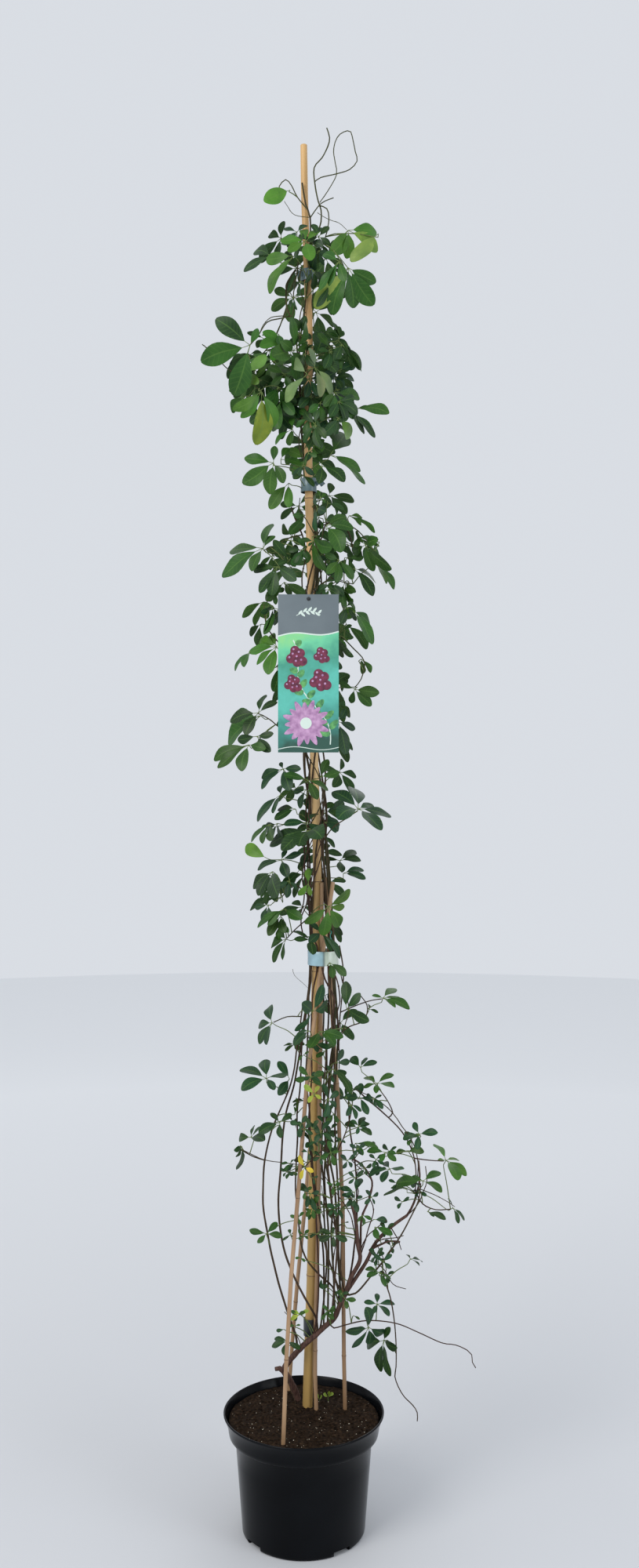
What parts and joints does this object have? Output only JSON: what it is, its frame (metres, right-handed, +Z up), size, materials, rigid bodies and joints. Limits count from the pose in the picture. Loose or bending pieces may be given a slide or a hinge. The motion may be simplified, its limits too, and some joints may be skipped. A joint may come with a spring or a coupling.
{
  "type": "potted climbing vine",
  "caption": "Tall chocolate vine with palmate five-part leaves, twined round a bamboo cane and thin stakes, in a black round nursery pot with a hanging label",
  "frame": {"origin": "middle of the pot's flat base, on the surface that it stands on", "axes": "+Z up along the canes; the front, which the picture shows, faces -Y; +X is to the right seen from the front"},
  "size_m": [0.4699, 0.28, 2.4404],
  "materials": {
    "pot": "satin",
    "soil": "matte",
    "cane": "satin",
    "stake": "satin",
    "tie": "satin",
    "clip": "satin",
    "band": "gloss",
    "label": "satin",
    "label_loop": "satin",
    "bark": "matte",
    "foliage": "satin"
  },
  "bodies": {
    "root": {"pot": "pot", "soil": "soil", "main_cane": "cane", "stake_front": "stake", "stake_back": "stake", "stake_cane": "stake", "stake_right": "stake", "tie_crown": "tie", "tie_neck": "tie", "clip_low": "clip", "wide_band": "band", "label": "label", "label_loop": "label_loop", "trunk": "bark", "stem_crown": "foliage", "stem_upper_left": "foliage", "stem_upper_right": "foliage", "stem_neck": "foliage", "stem_shoulder_right": "foliage", "stem_shoulder_left": "foliage", "stem_label_right": "foliage", "stem_label_left": "foliage", "stem_waist": "foliage", "stem_middle": "foliage", "stem_band": "foliage", "stem_left_arc": "foliage", "stem_centre": "foliage", "stem_right_arc": "foliage"}
  },
  "joints": []
}
